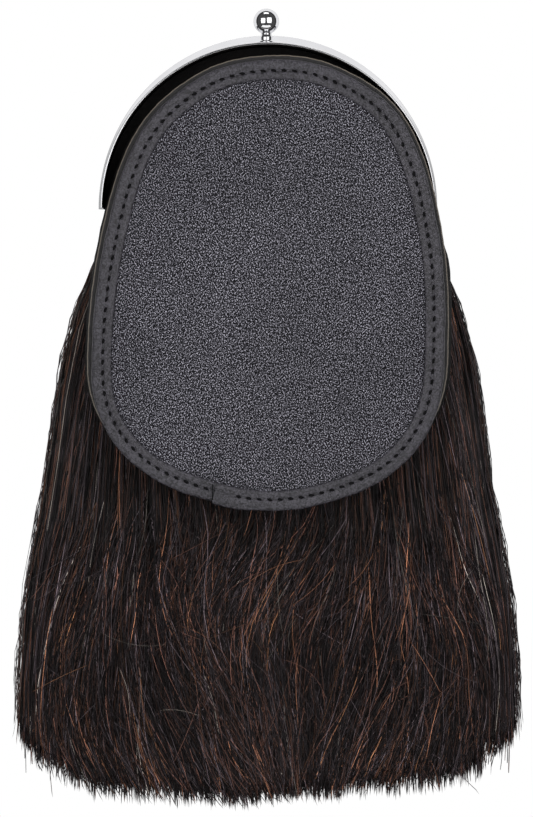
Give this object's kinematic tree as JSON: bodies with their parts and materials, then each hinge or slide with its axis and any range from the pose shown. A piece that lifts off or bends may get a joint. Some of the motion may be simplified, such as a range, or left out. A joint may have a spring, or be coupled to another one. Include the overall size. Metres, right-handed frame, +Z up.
{
  "type": "horsehair sporran",
  "caption": "Leather pouch worn at the front of the waist, with a polished metal arch, a ball knob and a long fall of dark horsehair",
  "frame": {"origin": "on the outer face of the leather back panel, at the height of the cantle's feet, where a strap holds the sporran at the front of the wearer", "axes": "+Z up, +X to the right as seen from behind the pouch, -Y towards the wearer, +Y towards the hair side"},
  "size_m": [0.2584, 0.0585, 0.3994],
  "materials": {
    "grained_leather": "fine pebble grain, satin",
    "smooth_leather": "smooth fine grain, satin",
    "raw_edge_leather": "black face with a raw tan edge",
    "inner_leather": "plain black, matt",
    "polished_metal": "polished",
    "horsehair": "straight coarse hair, dark brown to black with auburn strands"
  },
  "bodies": {
    "root": {"back_panel": "grained_leather", "panel_binding": "smooth_leather", "pouch_back": "raw_edge_leather", "gusset": "inner_leather", "front_panel": "inner_leather", "cantle": "polished_metal", "ball_knob": "polished_metal", "horsehair": "horsehair"}
  },
  "joints": []
}
